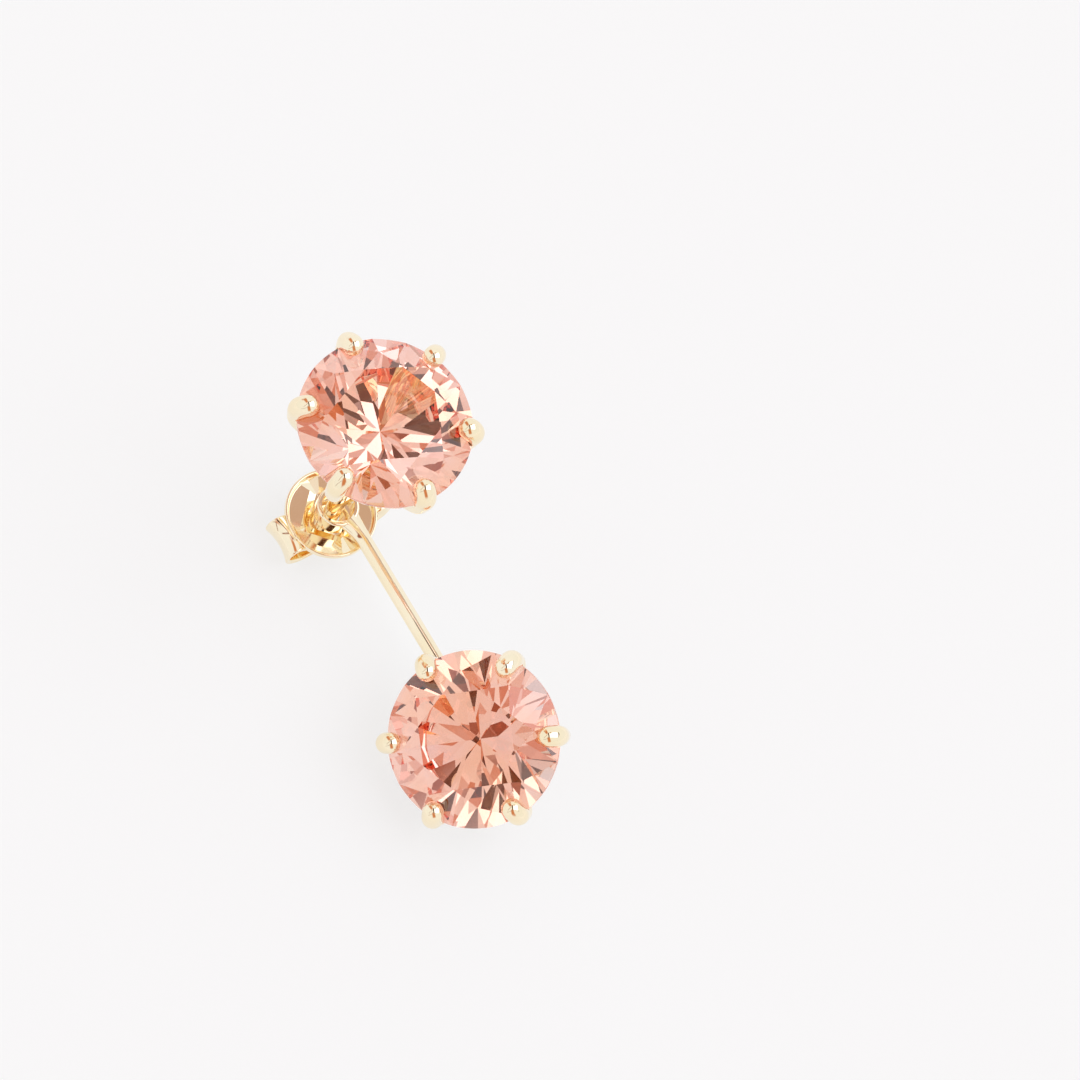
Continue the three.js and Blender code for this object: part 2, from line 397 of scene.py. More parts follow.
def stone_seat():
    """The stud stone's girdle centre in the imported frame, in metres."""
    settings = bpy.context.scene.ear_jacket.stone
    low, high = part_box("stud_stone")
    crown = settings.radius * (1 - settings.table) * math.tan(settings.crown)
    return Vector(((low.x + high.x) / 2, (low.y + high.y) / 2, high.z - crown - settings.girdle / 2))


def jacket_place():
    """From the hanging setting's own axis to the stud's, in millimetres."""
    settings = bpy.context.scene.ear_jacket.jacket
    turn = Matrix.Rotation(settings.pitch, 4, "Y") @ Matrix.Rotation(settings.twist, 4, "X")
    bar_end = Vector((mm(settings.reach), mm(settings.bar_side), mm(settings.bar_height)))
    return Matrix.Translation(bar_end) @ turn @ Matrix.Translation((0, 0, mm(settings.stone_up)))


def settle(obj, body, node):
    """Puts a piece shaped in millimetres at its place in the frame and hands it to the body."""
    obj.data.transform(Matrix.Translation(stone_seat()) @ Matrix.Scale(MM, 4))
    obj.data.update()
    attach(obj, body)
    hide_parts(node)
    return obj


def polish(obj, smooth_up_to=SMOOTH_UP_TO):
    """Gives a metal piece its one material, smooth over curves and sharp at edges."""
    mesh = obj.data
    mesh.materials.clear()
    mesh.materials.append(polished_gold())
    mesh.polygons.foreach_set("material_index", [0] * len(mesh.polygons))
    mesh.shade_smooth()
    mesh.set_sharp_from_angle(angle=smooth_up_to)


# --- Materials ---


def add_node(tree, kind, **values):
    """A node with its properties and its inputs (by name) set."""
    node = tree.nodes.new(kind)
    for key, value in values.items():
        if key in node.inputs:
            node.inputs[key].default_value = value
        else:
            setattr(node, key, value)
    return node


def spread(tree, source, low, high, out_low, out_high):
    """A number from `source` between low and high, spread over out_low to out_high."""
    node = tree.nodes.new("ShaderNodeMapRange")
    tree.links.new(source, node.inputs["Value"])
    for name, value in (
        ("From Min", low), ("From Max", high), ("To Min", out_low), ("To Max", out_high)
    ):
        node.inputs[name].default_value = value
    return node.outputs["Result"]


def noise(tree, place, scale, detail, roughness=0.5):
    node = add_node(tree, "ShaderNodeTexNoise", Scale=scale, Detail=detail, Roughness=roughness)
    tree.links.new(place, node.inputs["Vector"])
    return node.outputs["Fac"]


def blend(tree, share, first, second):
    """A colour that goes from first to second with `share`; first may be another node's output."""
    node = add_node(tree, "ShaderNodeMix", data_type="RGBA")
    tree.links.new(share, node.inputs["Factor"])
    node.inputs["B"].default_value = (*second, 1)
    if isinstance(first, bpy.types.NodeSocket):
        tree.links.new(first, node.inputs["A"])
    else:
        node.inputs["A"].default_value = (*first, 1)
    return node.outputs["Result"]


def new_material(name):
    """A material with its node tree, its shader, and a place on the piece to lay patterns by."""
    material = bpy.data.materials.new(name)
    material.use_nodes = True
    tree = material.node_tree
    place = tree.nodes.new("ShaderNodeTexCoord").outputs["Object"]
    return material, tree, tree.nodes["Principled BSDF"], place


def polished_gold():
    """Pale gold: a mirror polish with faint cloudiness, richer patches and fine buffing marks."""
    known = bpy.data.materials.get("polished_gold")
    if known:
        return known
    settings = bpy.context.scene.ear_jacket.gold
    material, tree, shader, place = new_material("polished_gold")
    shader.inputs["Metallic"].default_value = 1.0

    patches = spread(tree, noise(tree, place, 420.0, 3.0), 0.35, 0.65, 0.0, 1.0)
    colour_of_gold = blend(tree, patches, settings.light, settings.deep)
    tree.links.new(colour_of_gold, shader.inputs["Base Color"])

    cloud = noise(tree, place, 1500.0, 4.0, 0.6)
    dullness = spread(tree, cloud, 0.3, 0.75, settings.polish, settings.wear)
    tree.links.new(dullness, shader.inputs["Roughness"])

    marks = add_node(tree, "ShaderNodeMapping")
    marks.inputs["Scale"].default_value = (1.0, 0.15, 0.4)
    tree.links.new(place, marks.inputs["Vector"])
    grain = noise(tree, marks.outputs["Vector"], 16000.0, 2.0)
    bump = add_node(tree, "ShaderNodeBump", Strength=settings.scratch, Distance=0.00001)
    tree.links.new(grain, bump.inputs["Height"])
    tree.links.new(bump.outputs["Normal"], shader.inputs["Normal"])
    return material


def peach_gem():
    """Clear peach stone: colour grows with depth, with a faint zoning and a faint polish haze."""
    known = bpy.data.materials.get("peach_gem")
    if known:
        return known
    settings = bpy.context.scene.ear_jacket.stone
    material, tree, shader, place = new_material("peach_gem")
    shader.inputs["Transmission Weight"].default_value = 1.0
    shader.inputs["IOR"].default_value = settings.refraction

    zones = spread(tree, noise(tree, place, 300.0, 1.0), 0.38, 0.62, 0.0, 1.0)
    cast = blend(tree, zones, settings.warm_zone, settings.cool_zone)
    tree.links.new(cast, shader.inputs["Base Color"])

    haze = noise(tree, place, 900.0, 3.0)
    tree.links.new(spread(tree, haze, 0.3, 0.8, 0.0, 0.006), shader.inputs["Roughness"])

    depth = tree.nodes.new("ShaderNodeVolumeAbsorption")
    depth.inputs["Color"].default_value = (*settings.tint, 1)
    depth.inputs["Density"].default_value = settings.density
    tree.links.new(depth.outputs["Volume"], tree.nodes["Material Output"].inputs["Volume"])
    return material


def glowing_floor():
    """The floor that the earring stands on, white with barely darker patches. It is no lamp but
    glows with painted light that lightens the shadows under the earring.
    """
    settings = bpy.context.scene.ear_jacket.stage
    material, tree, shader, place = new_material("glowing_floor")
    darker = [tone * settings.floor_patch for tone in settings.floor]
    patches = noise(tree, place, 60.0, 3.0)
    tree.links.new(blend(tree, patches, settings.floor, darker), shader.inputs["Base Color"])
    shader.inputs["Specular IOR Level"].default_value = 0.2
    shader.inputs["Roughness"].default_value = 0.7
    # painted light: the floor glows, though it is no lamp, to lighten the shadows under the earring
    shader.inputs["Emission Color"].default_value = (1, 1, 1, 1)
    shader.inputs["Emission Strength"].default_value = settings.glow
    return material


# --- Stones ---


def brilliant_facets(grow):
    """(how many, slope, distance from the axis at the girdle, direction of the first, up or down)
    of each family of facets, and the height of a table moved up by `grow`."""
    stone = bpy.context.scene.ear_jacket.stone
    radius = mm(stone.radius)
    eighth, sixteenth = math.pi / 8, math.pi / 16
    table = radius * stone.table
    crown_height = (radius - table) * math.tan(stone.crown)
    table_edge = table * math.cos(eighth)
    star_tip = table_edge + (radius - table_edge) * stone.star
    star_height = (radius - star_tip * math.cos(eighth)) * math.tan(stone.crown)
    star_slope = math.atan((crown_height - star_height) / (star_tip - table_edge))
    half_reach = radius * math.cos(sixteenth)
    upper_slope = math.atan(star_height / (half_reach - star_tip * math.cos(sixteenth)))
    lower_tip = radius * (1 - stone.lower)
    lower_depth = (radius - lower_tip * math.cos(eighth)) * math.tan(stone.pavilion)
    lower_slope = math.atan(lower_depth / (half_reach - lower_tip * math.cos(sixteenth)))
    star_cross = table_edge + crown_height / math.tan(star_slope)
    families = [
        (8, stone.crown, radius, 0.0, 1),
        (8, star_slope, star_cross, eighth, 1),
        (16, upper_slope, half_reach, sixteenth, 1),
        (8, stone.pavilion, radius, 0.0, -1),
        (16, lower_slope, half_reach, sixteenth, -1),
    ]
    return families, mm(stone.girdle) / 2 + crown_height + grow


def brilliant(name, grow, sides):
    """A round brilliant in millimetres, girdle at height 0; `grow` moves every face outwards."""
    stone = bpy.context.scene.ear_jacket.stone
    families, top = brilliant_facets(grow)
    radius = mm(stone.radius) + grow
    cut = bmesh.new()
    rings = []
    for height in (-2 * radius, top):
        turns = [2 * math.pi * k / sides for k in range(sides)]
        rings.append(
            [cut.verts.new((radius * math.cos(t), radius * math.sin(t), height)) for t in turns]
        )
    for k in range(sides):
        n = (k + 1) % sides
        cut.faces.new((rings[0][k], rings[0][n], rings[1][n], rings[1][k]))
    cut.faces.new(list(reversed(rings[0])))
    cut.faces.new(rings[1])
    for many, slope, reach, aim, side in families:
        for k in range(many):
            turn = aim + 2 * math.pi * k / many
            normal = Vector((
                math.sin(slope) * math.cos(turn),
                math.sin(slope) * math.sin(turn),
                side * math.cos(slope),
            ))
            point = Vector((
                reach * math.cos(turn), reach * math.sin(turn), side * mm(stone.girdle) / 2
            )) + normal * grow
            whole = cut.verts[:] + cut.edges[:] + cut.faces[:]
            facet = bmesh.ops.bisect_plane(
                cut, geom=whole, dist=1e-6, plane_co=point, plane_no=normal, clear_outer=True
            )
            edges = [e for e in facet["geom_cut"] if isinstance(e, bmesh.types.BMEdge)]
            if edges:
                bmesh.ops.edgeloop_fill(cut, edges=edges)
    bmesh.ops.remove_doubles(cut, verts=cut.verts[:], dist=1e-3)
    bmesh.ops.delete(cut, geom=cut.edges[:] + cut.faces[:], context="EDGES_FACES")
    bmesh.ops.convex_hull(cut, input=cut.verts[:])
    bmesh.ops.dissolve_limit(
        cut, angle_limit=math.radians(0.2), verts=cut.verts[:], edges=cut.edges[:]
    )
    bmesh.ops.recalc_face_normals(cut, faces=cut.faces[:])
    for face in cut.faces:
        face.smooth = abs(face.normal.z) < 0.1
    if any(not edge.is_manifold for edge in cut.edges):
        raise RuntimeError(f"{name} isn't closed")
    mesh = bpy.data.meshes.new(name)
    cut.to_mesh(mesh)
    cut.free()
    return mesh


class EARJACKET_OT_stones(bpy.types.Operator):
    """Cut the two round brilliants and set them in their places"""

    bl_idname = "ear_jacket.stones"
    bl_label = "Cut Stones"

    def execute(self, context):
        sides = context.scene.ear_jacket.stone.sides
        for name, body, node, place in (
            ("stud_brilliant", "stud", "stud_stone", Matrix.Identity(4)),
            ("jacket_brilliant", "jacket", "jacket_stone", jacket_place()),
        ):
            stone = new_object(name, brilliant(name, 0.0, sides))
            stone.data.transform(place)
            stone.data.materials.append(peach_gem())
            settle(stone, body, node)
        return {"FINISHED"}


# --- Six-claw settings ---

# centre line of a claw, as distance from the stone's axis and height over the girdle
CLAW_LINE = [
    (0.7, -3.64), (1.5, -3.42), (2.45, -2.55), (3.25, -1.6),
    (3.82, -0.75), (3.98, 0.0), (3.97, 0.4), (3.8, 0.68), (3.66, 0.8),
]
# heights over the girdle between which a claw's wire swells to its tip
TIP_FROM = -0.2
TIP_FULL = 0.4


def claw_line():
    """The claw's centre line as a curve whose radius closes in a round tip."""
    settings = bpy.context.scene.ear_jacket.setting
    wire, tip = mm(settings.thickness), mm(settings.tip)
    path = smooth_path(CLAW_LINE, 6)
    sized = []
    for out, up in path:
        near_tip = min(1.0, max(0.0, (up - TIP_FROM) / (TIP_FULL - TIP_FROM)))
        sized.append((out, up, wire + (tip - wire) * near_tip))
    end = Vector(path[-1])
    along = (end - Vector(path[-2])).normalized()
    steps = 9
    for k in range(1, steps + 1):
        turn = math.pi / 2 * k / steps
        point = end + along * tip * math.sin(turn)
        sized.append((point.x, point.y, max(tip * math.cos(turn), 0.01)))
    curve = bpy.data.curves.new("claw_line", "CURVE")
    curve.dimensions = "3D"
    spline = curve.splines.new("POLY")
    spline.points.add(len(sized) - 1)
    for point, (out, up, radius) in zip(spline.points, sized):
        point.co = (out, 0, up, 1)
        point.radius = radius
    return new_object("claw_line", curve)


def claw_tree():
    """Geometry nodes: claws round the axis, joined to a rail and a base, less the stone's seat."""
    known = bpy.data.node_groups.get("six_claw_setting")
    if known:
        return known
    tree = bpy.data.node_groups.new("six_claw_setting", "GeometryNodeTree")
    for name, kind in (
        ("Claw Line", "NodeSocketGeometry"), ("Claws", "NodeSocketInt"),
        ("Turn", "NodeSocketFloat"), ("Claw Sides", "NodeSocketInt"),
        ("Rail Radius", "NodeSocketFloat"), ("Rail Wire", "NodeSocketFloat"),
        ("Rail Height", "NodeSocketFloat"), ("Base", "NodeSocketObject"),
        ("Stone", "NodeSocketObject"), ("Metal", "NodeSocketMaterial"),
    ):
        tree.interface.new_socket(name, in_out="INPUT", socket_type=kind)
    tree.interface.new_socket("Setting", in_out="OUTPUT", socket_type="NodeSocketGeometry")
    link = tree.links.new
    given = tree.nodes.new("NodeGroupInput").outputs

    section = add_node(tree, "GeometryNodeCurvePrimitiveCircle", Radius=1.0)
    link(given["Claw Sides"], section.inputs["Resolution"])
    claw = add_node(tree, "GeometryNodeCurveToMesh")
    claw.inputs["Fill Caps"].default_value = True
    link(given["Claw Line"], claw.inputs["Curve"])
    link(section.outputs["Curve"], claw.inputs["Profile Curve"])
    link(tree.nodes.new("GeometryNodeInputRadius").outputs[0], claw.inputs["Scale"])

    share = add_node(tree, "ShaderNodeMath", operation="DIVIDE")
    share.inputs[0].default_value = 2 * math.pi
    link(given["Claws"], share.inputs[1])
    turn = add_node(tree, "ShaderNodeMath", operation="MULTIPLY_ADD")
    link(tree.nodes.new("GeometryNodeInputIndex").outputs[0], turn.inputs[0])
    link(share.outputs[0], turn.inputs[1])
    link(given["Turn"], turn.inputs[2])
    spin = add_node(tree, "FunctionNodeAxisAngleToRotation")
    spin.inputs["Axis"].default_value = (0, 0, 1)
    link(turn.outputs[0], spin.inputs["Angle"])
    places = add_node(tree, "GeometryNodePoints")
    link(given["Claws"], places.inputs["Count"])
    claws = add_node(tree, "GeometryNodeInstanceOnPoints")
    link(places.outputs[0], claws.inputs["Points"])
    link(claw.outputs[0], claws.inputs["Instance"])
    link(spin.outputs[0], claws.inputs["Rotation"])

    ring = add_node(tree, "GeometryNodeCurvePrimitiveCircle", Resolution=120)
    link(given["Rail Radius"], ring.inputs["Radius"])
    wire = add_node(tree, "GeometryNodeCurvePrimitiveCircle", Resolution=20)
    link(given["Rail Wire"], wire.inputs["Radius"])
    rail = add_node(tree, "GeometryNodeCurveToMesh")
    link(ring.outputs["Curve"], rail.inputs["Curve"])
    link(wire.outputs["Curve"], rail.inputs["Profile Curve"])
    height = add_node(tree, "ShaderNodeCombineXYZ")
    link(given["Rail Height"], height.inputs["Z"])
    lowered = add_node(tree, "GeometryNodeTransform")
    link(rail.outputs[0], lowered.inputs["Geometry"])
    link(height.outputs[0], lowered.inputs["Translation"])

    base = add_node(tree, "GeometryNodeObjectInfo")
    link(given["Base"], base.inputs["Object"])
    soldered = add_node(tree, "GeometryNodeMeshBoolean", operation="UNION", solver="MANIFOLD")
    for part in (claws.outputs[0], lowered.outputs[0], base.outputs["Geometry"]):
        link(part, soldered.inputs["Mesh 2"])
    stone = add_node(tree, "GeometryNodeObjectInfo")
    link(given["Stone"], stone.inputs["Object"])
    seated = add_node(tree, "GeometryNodeMeshBoolean", operation="DIFFERENCE", solver="MANIFOLD")
    link(soldered.outputs[0], seated.inputs["Mesh 1"])
    link(stone.outputs["Geometry"], seated.inputs["Mesh 2"])

    whole = add_node(tree, "GeometryNodeRealizeInstances")
    link(seated.outputs[0], whole.inputs["Geometry"])
    finish = add_node(tree, "GeometryNodeSetMaterial")
    link(whole.outputs[0], finish.inputs["Geometry"])
    link(given["Metal"], finish.inputs["Material"])
    link(finish.outputs[0], tree.nodes.new("NodeGroupOutput").inputs["Setting"])
    return tree


def claw_setting(name, base, turn):
    """A plain mesh object of six claws and their rail soldered to `base`, which is used up."""
    settings = bpy.context.scene.ear_jacket
    line = claw_line()
    seat = new_object("seat", brilliant("seat", mm(settings.stone.gap), 64))
    modifier = line.modifiers.new("setting", "NODES")
    modifier.node_group = claw_tree()
    values = {
        "Claws": settings.setting.claws,
        "Turn": turn,
        "Claw Sides": settings.setting.claw_sides,
        "Rail Radius": mm(settings.setting.rail_radius),
        "Rail Wire": mm(settings.setting.rail_wire),
        "Rail Height": mm(settings.setting.rail_height),
        "Base": base,
        "Stone": seat,
        "Metal": polished_gold(),
    }
    for item in modifier.node_group.interface.items_tree:
        if item.name in values:
            modifier[item.identifier] = values[item.name]
    mesh = evaluated_mesh(line)
    line.modifiers.clear()
    discard(line, base, seat)
    if len(mesh.polygons) == 0:
        raise RuntimeError(f"{name} came out empty")
    mesh.name = name
    return new_object(name, mesh)


def foot_outline(with_post):
    """The foot's turned outline, with the post, its solder fillet and the groove near its tip."""
    settings = bpy.context.scene.ear_jacket.setting
    radius, top, bottom = map(mm, (settings.foot_radius, settings.foot_top, settings.foot_bottom))
    corners = [(0, top, 0), (radius, top, EDGE), (radius, bottom, EDGE)]
    if not with_post:
        return rounded([*corners, (0, bottom, 0)])
    post, end = mm(settings.post_radius), mm(settings.post_end)
    waist, groove = post - mm(settings.groove), end + mm(settings.groove_up)
    reach = mm(settings.groove_length)
    corners.append((post, bottom, mm(settings.solder)))
    for out, along in ((post, 1.5), (waist, 0.5), (waist, -0.5), (post, -1.5)):
        corners.append((out, groove + along * reach, EDGE))
    return rounded([*corners, (post, end, mm(settings.post_round)), (0, end, 0)])


class EARJACKET_OT_stud_setting(bpy.types.Operator):
    """Make the stud's six claws, rail, foot and post"""

    bl_idname = "ear_jacket.stud_setting"
    bl_label = "Make Stud Setting"

    def execute(self, context):
        foot = new_object("foot", revolve("foot", foot_outline(True), 64))
        turn = context.scene.ear_jacket.setting.stud_turn
        setting = claw_setting("stud_claws_and_post", foot, turn)
        polish(setting)
        settle(setting, "stud", "stud_setting")
        return {"FINISHED"}


# --- Jacket ---


def eyelet_and_bar():
    """The eyelet's barrel with the bar growing out of it."""
    settings = bpy.context.scene.ear_jacket.jacket
    bore, radius, front = mm(settings.bore), mm(settings.radius), mm(settings.front)
    back = front - mm(settings.depth)
    barrel = revolve(
        "eyelet_and_bar",
        rounded([(0, front, 0), (0, back, 0), (radius, back, EDGE), (radius, front, EDGE)]),
        96,
    )
    lip = 0.3
    hole = revolve(
        "hole",
        rounded([
            (0, front + lip, 0), (0, back - lip, 0), (bore + lip, back - lip, 0),
            (bore, back, 0.12), (bore, front, 0.12), (bore + lip, front + lip, 0),
        ]),
        96,
    )
    play = Matrix.Translation((mm(settings.play_x), mm(settings.play_y), 0))
    barrel.transform(play)
    hole.transform(play)

    bar, root = mm(settings.bar), mm(settings.root_length)
    side, height = mm(settings.bar_side), mm(settings.bar_height)
    start = mm(settings.play_x)
    end = mm(settings.reach) - mm(bpy.context.scene.ear_jacket.setting.rail_radius)
    stations = [start + (root - start) * k / 16 for k in range(17)]
    stations += [root + (end - root) * k / 8 for k in range(1, 9)]
    rings = []
    for x in stations:
        wide = max(0.0, 1 - (x - start) / (root - start)) ** settings.root_curve
        half_width = bar + (mm(settings.root_width) - bar) * wide
        half_height = bar + (mm(settings.root_height) - bar) * wide
        middle = side + (mm(settings.play_y) - side) * wide
        rings.append([
            (x, middle + half_width * math.cos(t), height + half_height * math.sin(t))
            for t in (2 * math.pi * k / 40 for k in range(40))
        ])
    return combine(
        new_object("eyelet_and_bar", barrel),
        ("UNION", new_object("bar", loft("bar", rings))),
        ("DIFFERENCE", new_object("hole", hole)),
    )


class EARJACKET_OT_jacket(bpy.types.Operator):
    """Make the jacket's eyelet and bar with the hanging six-claw setting"""

    bl_idname = "ear_jacket.jacket"
    bl_label = "Make Jacket"

    def execute(self, context):
        foot = new_object("foot", revolve("foot", foot_outline(False), 64))
        setting = claw_setting("hanging_claws", foot, context.scene.ear_jacket.setting.jacket_turn)
        setting.data.transform(jacket_place())
        jacket = combine(eyelet_and_bar(), ("UNION", setting))
        jacket.name = "jacket_bar_and_claws"
        polish(jacket)
        settle(jacket, "jacket", "jacket")
        return {"FINISHED"}


# --- Clutch ---

# centre line of one wing, as distance from the post's axis and height
WING_LINE = [
    (1.0, -11.86), (1.65, -11.72), (2.1, -11.42), (2.45, -11.6), (2.52, -12.05),
    (2.3, -12.6), (1.8, -12.97), (1.15, -12.95), (0.7, -12.6), (0.72, -12.25),
]


def wing(name):
    """One rolled wing along +X: a strip with rounded edges whose roll flares at both ends."""
    settings = bpy.context.scene.ear_jacket.clutch
    half, thick = mm(settings.width) / 2, mm(settings.sheet) / 2
    roll_out, roll_up = mm(settings.roll_out), mm(settings.roll_up)
    face = [(k / 10 * (half - thick), thick) for k in range(-10, 11)]
    edge = [
        (half - thick + thick * math.sin(t), thick * math.cos(t))
        for t in (math.pi * k / 14 for k in range(1, 14))
    ]
    section = [*face, *edge]
    section += [(across, -up) for across, up in reversed(face)]
    section += [(-across, up) for across, up in reversed(edge)]
    path = smooth_path(WING_LINE, 8)
    rings = []
    for i, at in enumerate(path):
        along = (path[min(i + 1, len(path) - 1)] - path[max(i - 1, 0)]).normalized()
        to_end = min(1.0, (len(path) - 1 - i) / 2)
        full = math.sqrt(1 - (1 - to_end) ** 2)
        squeeze = settings.end_thickness + (1 - settings.end_thickness) * full
        ring = []
        for across, up in section:
            out = at.x - along.y * up * squeeze
            height = at.y + along.x * up * squeeze
            flare = settings.flare * (across / half) ** 2 * max(0.0, out - roll_out)
            rise = flare * max(0.0, height - roll_up)
            ring.append((out + flare, across, height + rise))
        rings.append(ring)
    return loft(name, rings)


def square_recess():
    """The cutter of the plate's sunk square, its corners along the bar and the wings."""
    settings = bpy.context.scene.ear_jacket.clutch
    half, bevel = mm(settings.recess), mm(settings.bevel)
    floor, plate = mm(settings.recess_floor), mm(settings.plate)
    slope = (plate - floor) / bevel
    rings = []
    for out in (half, half + 2 * bevel):
        up = floor + slope * (out - half)
        corner = out * math.sqrt(2)
        rings.append([(corner, 0, up), (0, corner, up), (-corner, 0, up), (0, -corner, up)])
    return loft("recess", rings)


def crimp(side):
    """The cutter of a small fold pressed into the plate between the square's corner and the rim."""
    settings = bpy.context.scene.ear_jacket.clutch
    start = side * mm(settings.fold_start)
    end = side * (mm(settings.radius) - mm(settings.fold_margin))
    half, plate = mm(settings.fold_width), mm(settings.plate)
    above = plate + CLEAR
    points = [
        (start, 0, plate - mm(settings.fold_start_depth)), (start, 0, above),
        (end, 0, plate - mm(settings.fold_depth)),
        (end, half, plate), (end, -half, plate), (end, half, above), (end, -half, above),
    ]
    made = bmesh.new()
    for point in points:
        made.verts.new(point)
    bmesh.ops.convex_hull(made, input=made.verts[:])
    bmesh.ops.recalc_face_normals(made, faces=made.faces[:])
    mesh = bpy.data.meshes.new("crimp")
    made.to_mesh(mesh)
    made.free()
    return mesh


def dish_outline():
    """The dish's turned outline: the dimple, the plate, its raised rim and the hole's funnel."""
    settings = bpy.context.scene.ear_jacket.clutch
    hole, flat, radius = mm(settings.hole), mm(settings.flat), mm(settings.radius)
    floor, plate, rim = mm(settings.floor), mm(settings.plate), mm(settings.rim)
    sheet, funnel = mm(settings.sheet), mm(settings.funnel)
    rim_inside, rim_foot = radius - mm(settings.rim_width), radius - mm(settings.rim_foot)
    return rounded([
        (hole, floor - sheet, 0.06), (flat, floor - sheet, 0.15),
        (radius - sheet, plate - sheet, 0.15), (radius, plate, EDGE),
        (radius, rim, 0.055), (rim_inside, rim, 0.055), (rim_foot, plate, 0.06),
        (hole + funnel, plate, 0), (hole, floor + 3 * funnel, 0),
    ])


class EARJACKET_OT_clutch(bpy.types.Operator):
    """Make the butterfly clutch with its dish and two rolled wings"""

    bl_idname = "ear_jacket.clutch"
    bl_label = "Make Clutch"

    def execute(self, context):
        dish = new_object("butterfly_clutch", revolve("butterfly_clutch", dish_outline(), 128))
        cuts = [("DIFFERENCE", new_object("recess", square_recess()))]
        cuts += [("DIFFERENCE", new_object("crimp", crimp(side))) for side in (1, -1)]
        for side in (1, -1):
            rolled = wing("wing")
            rolled.transform(Matrix.Rotation(side * math.pi / 2, 4, "Z"))
            cuts.append(("UNION", new_object("wing", rolled)))
        clutch = combine(dish, *cuts)
        polish(clutch, PRESSED_SMOOTH_UP_TO)
        settle(clutch, "clutch", "clutch")
        return {"FINISHED"}


# --- Stage ---


# what the tent holds, in order, each hung over the ones before it: the stage setting with its
# colour, the direction of its middle round and up, half its width and half its height as seen
# from the earring, its turn (degrees), and how far its edge fades (0 to 1)
PANELS = (
    ("curtain", 60, 36, 14, 29, 20, 0.3),
    ("curtain", -80, 40, 12, 29, -20, 0.3),
    ("pole", -14, 58, 1.6, 34, 20, 0.1),
    ("pole", 22, 30, 1.2, 30, -30, 0.1),
    ("frame", 148, 66, 28, 35, 10, 0.03),
    ("softbox", 150, 61, 26, 27, 10, 0.03),
    ("blush", 209, 66, 6, 8, 0, 0.1),
)
# height over the horizon (degrees) and the stage setting with its colour there
TENT_WALL = ((0, "paper"), (6, "seam"), (15, "paper"), (90, "paper"))


def arithmetic(tree, kind, operation, *values):
    """The result of a math node or, for two directions, of a vector math node."""
    node = tree.nodes.new(kind)
    node.operation = operation
    for socket, value in zip(node.inputs, values):
        if isinstance(value, bpy.types.NodeSocket):
            tree.links.new(value, socket)
        else:
            socket.default_value = value
    return node.outputs["Value"]


def towards(azimuth, elevation):
    """The direction from the earring, round from the front and up from the horizon."""
    return Vector((
        math.sin(azimuth) * math.cos(elevation),
        -math.cos(azimuth) * math.cos(elevation),
        math.sin(elevation),
    ))


def panel_mask(tree, direction, azimuth, elevation, half_width, half_height, roll, fade):
    """1 where a line of sight meets a flat panel, 0 where it passes by, with a soft edge."""
    turn = math.radians(azimuth)
    middle = towards(turn, math.radians(elevation))
    level = Vector((math.cos(turn), math.sin(turn), 0))
    tilt = Matrix.Rotation(math.radians(roll), 3, middle)
    facing = arithmetic(tree, "ShaderNodeVectorMath", "DOT_PRODUCT", direction, middle)
    mask = arithmetic(tree, "ShaderNodeMath", "GREATER_THAN", facing, 0.01)
    for axis, half in ((tilt @ level, half_width), (tilt @ middle.cross(level), half_height)):
        off = arithmetic(tree, "ShaderNodeVectorMath", "DOT_PRODUCT", direction, axis)
        off = arithmetic(tree, "ShaderNodeMath", "DIVIDE", off, facing)
        off = arithmetic(tree, "ShaderNodeMath", "ABSOLUTE", off)
        reach = math.tan(math.radians(half))
        inside = spread(tree, off, reach * (1 + fade), reach * (1 - fade), 0.0, 1.0)
        mask = arithmetic(tree, "ShaderNodeMath", "MULTIPLY", mask, inside)
    return mask


def light_tent(settings):
    """The world: a white tent with a softbox in a dark frame, curtains and a soft seam."""
    world = bpy.data.worlds.new("light_tent")
    bpy.context.scene.world = world
    world.use_nodes = True
    tree = world.node_tree
    direction = tree.nodes.new("ShaderNodeTexCoord").outputs["Generated"]
    parts = tree.nodes.new("ShaderNodeSeparateXYZ")
    tree.links.new(direction, parts.inputs[0])
    wall = tree.nodes.new("ShaderNodeValToRGB")
    tree.links.new(parts.outputs["Z"], wall.inputs["Fac"])
    stops = wall.color_ramp.elements
    for height, tone in TENT_WALL:
        place = math.sin(math.radians(height))
        stop = stops[int(place)] if place in (0.0, 1.0) else stops.new(place)
        stop.color = (*getattr(settings, tone), 1)
    hung = wall.outputs["Color"]
    for tone, *place in PANELS:
        hung = blend(tree, panel_mask(tree, direction, *place), hung, getattr(settings, tone))
    tree.links.new(hung, tree.nodes["Background"].inputs["Color"])


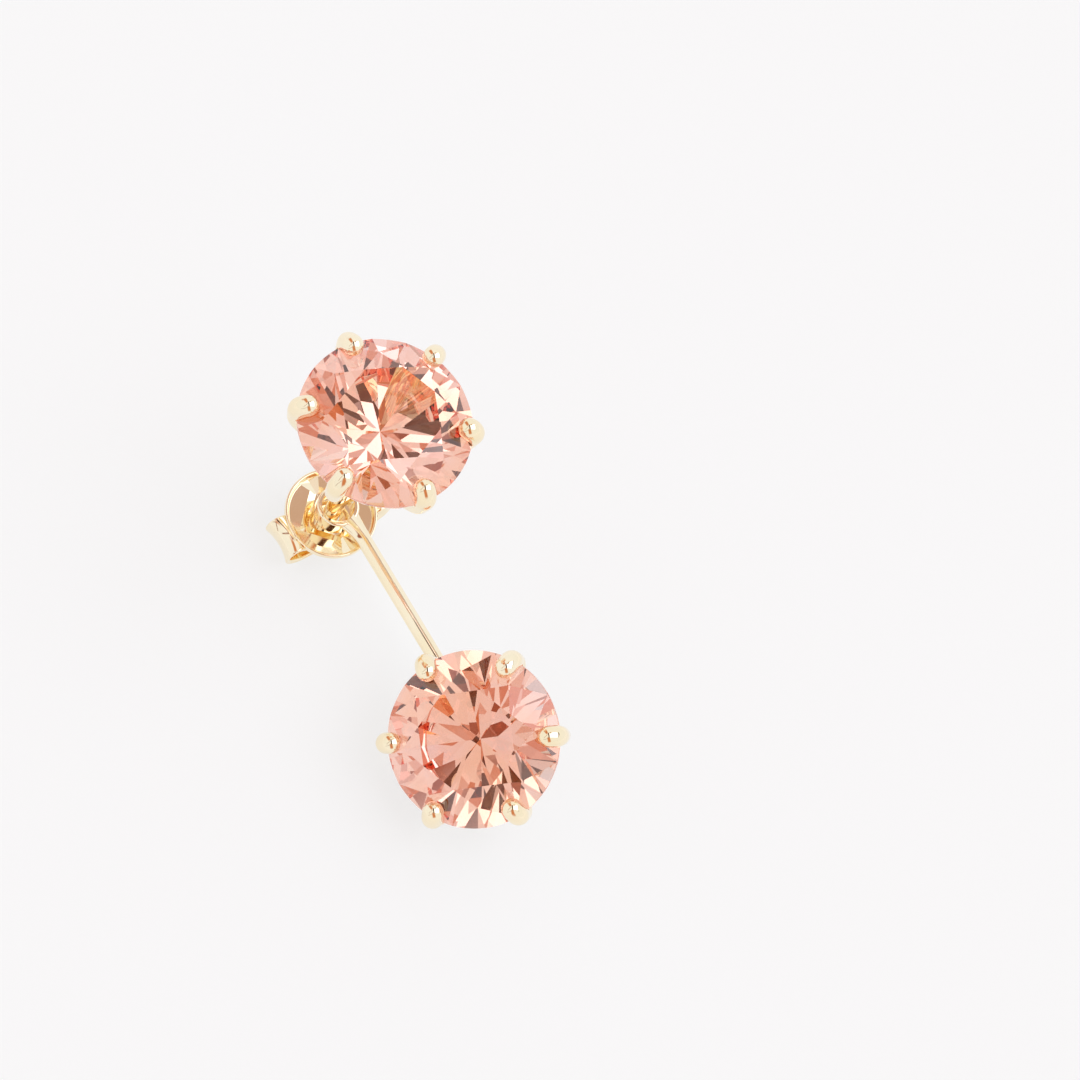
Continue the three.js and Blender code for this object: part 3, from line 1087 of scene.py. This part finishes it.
class EARJACKET_OT_stage(bpy.types.Operator):
    """Lay the floor, hang the lights and place the camera"""

    bl_idname = "ear_jacket.stage"
    bl_label = "Set Stage"

    def execute(self, context):
        settings = context.scene.ear_jacket.stage
        half = settings.floor_size / 2
        sheet = bpy.data.meshes.new("floor")
        corners = [(-half, -half, 0), (half, -half, 0), (half, half, 0), (-half, half, 0)]
        sheet.from_pydata(corners, [], [(0, 1, 2, 3)])
        floor = new_object("floor", sheet)
        floor.data.materials.append(glowing_floor())

        light_tent(settings)

        camera = bpy.data.cameras.new("camera")
        camera.lens = settings.lens
        camera.clip_start, camera.clip_end = 0.01, 10.0
        eye = new_object("camera", camera)
        back = towards(settings.azimuth, settings.elevation)
        turn = back.to_track_quat("Z", "Y").to_matrix() @ Matrix.Rotation(settings.roll, 3, "Z")
        middle = (CAD_BOX[0] + CAD_BOX[1]) / 2
        aim = middle + turn @ Vector((settings.aim_right, settings.aim_up, 0))
        distance = settings.view_width * settings.lens / camera.sensor_width
        eye.matrix_world = Matrix.Translation(aim + back * distance) @ turn.to_4x4()
        context.scene.camera = eye

        context.scene.view_settings.view_transform = "Standard"
        bounces = context.scene.cycles
        bounces.max_bounces = bounces.transmission_bounces = bounces.glossy_bounces = 24
        return {"FINISHED"}


# --- Panel and registration ---


class EARJACKET_PT_panel(bpy.types.Panel):
    """Sizes and steps of the ear jacket"""

    bl_idname = "EARJACKET_PT_panel"
    bl_label = "Ear Jacket"
    bl_space_type = "VIEW_3D"
    bl_region_type = "UI"
    bl_category = "Ear Jacket"

    def draw(self, context):
        settings = context.scene.ear_jacket
        for step in STEPS:
            self.layout.operator(step.bl_idname)
        for group in GROUPS:
            box = self.layout.box()
            box.label(text=group.capitalize())
            part = getattr(settings, group)
            for name in type(part).__annotations__:
                box.prop(part, name)


GROUPS = ("stone", "setting", "jacket", "clutch", "gold", "stage")
STEPS = (
    EARJACKET_OT_stage,
    EARJACKET_OT_stones,
    EARJACKET_OT_stud_setting,
    EARJACKET_OT_jacket,
    EARJACKET_OT_clutch,
)
CLASSES = (
    EarJacketStone,
    EarJacketSetting,
    EarJacketJacket,
    EarJacketClutch,
    EarJacketGold,
    EarJacketStage,
    EarJacketSettings,
    *STEPS,
    EARJACKET_PT_panel,
)


def register():
    for each in CLASSES:
        bpy.utils.register_class(each)
    bpy.types.Scene.ear_jacket = PointerProperty(
        type=EarJacketSettings, name="Ear jacket", description="Settings of the ear jacket"
    )


def unregister():
    del bpy.types.Scene.ear_jacket
    for each in reversed(CLASSES):
        bpy.utils.unregister_class(each)


def main():
    register()
    for step in STEPS:
        family, name = step.bl_idname.split(".")
        getattr(getattr(bpy.ops, family), name)()


if __name__ == "__main__":
    main()
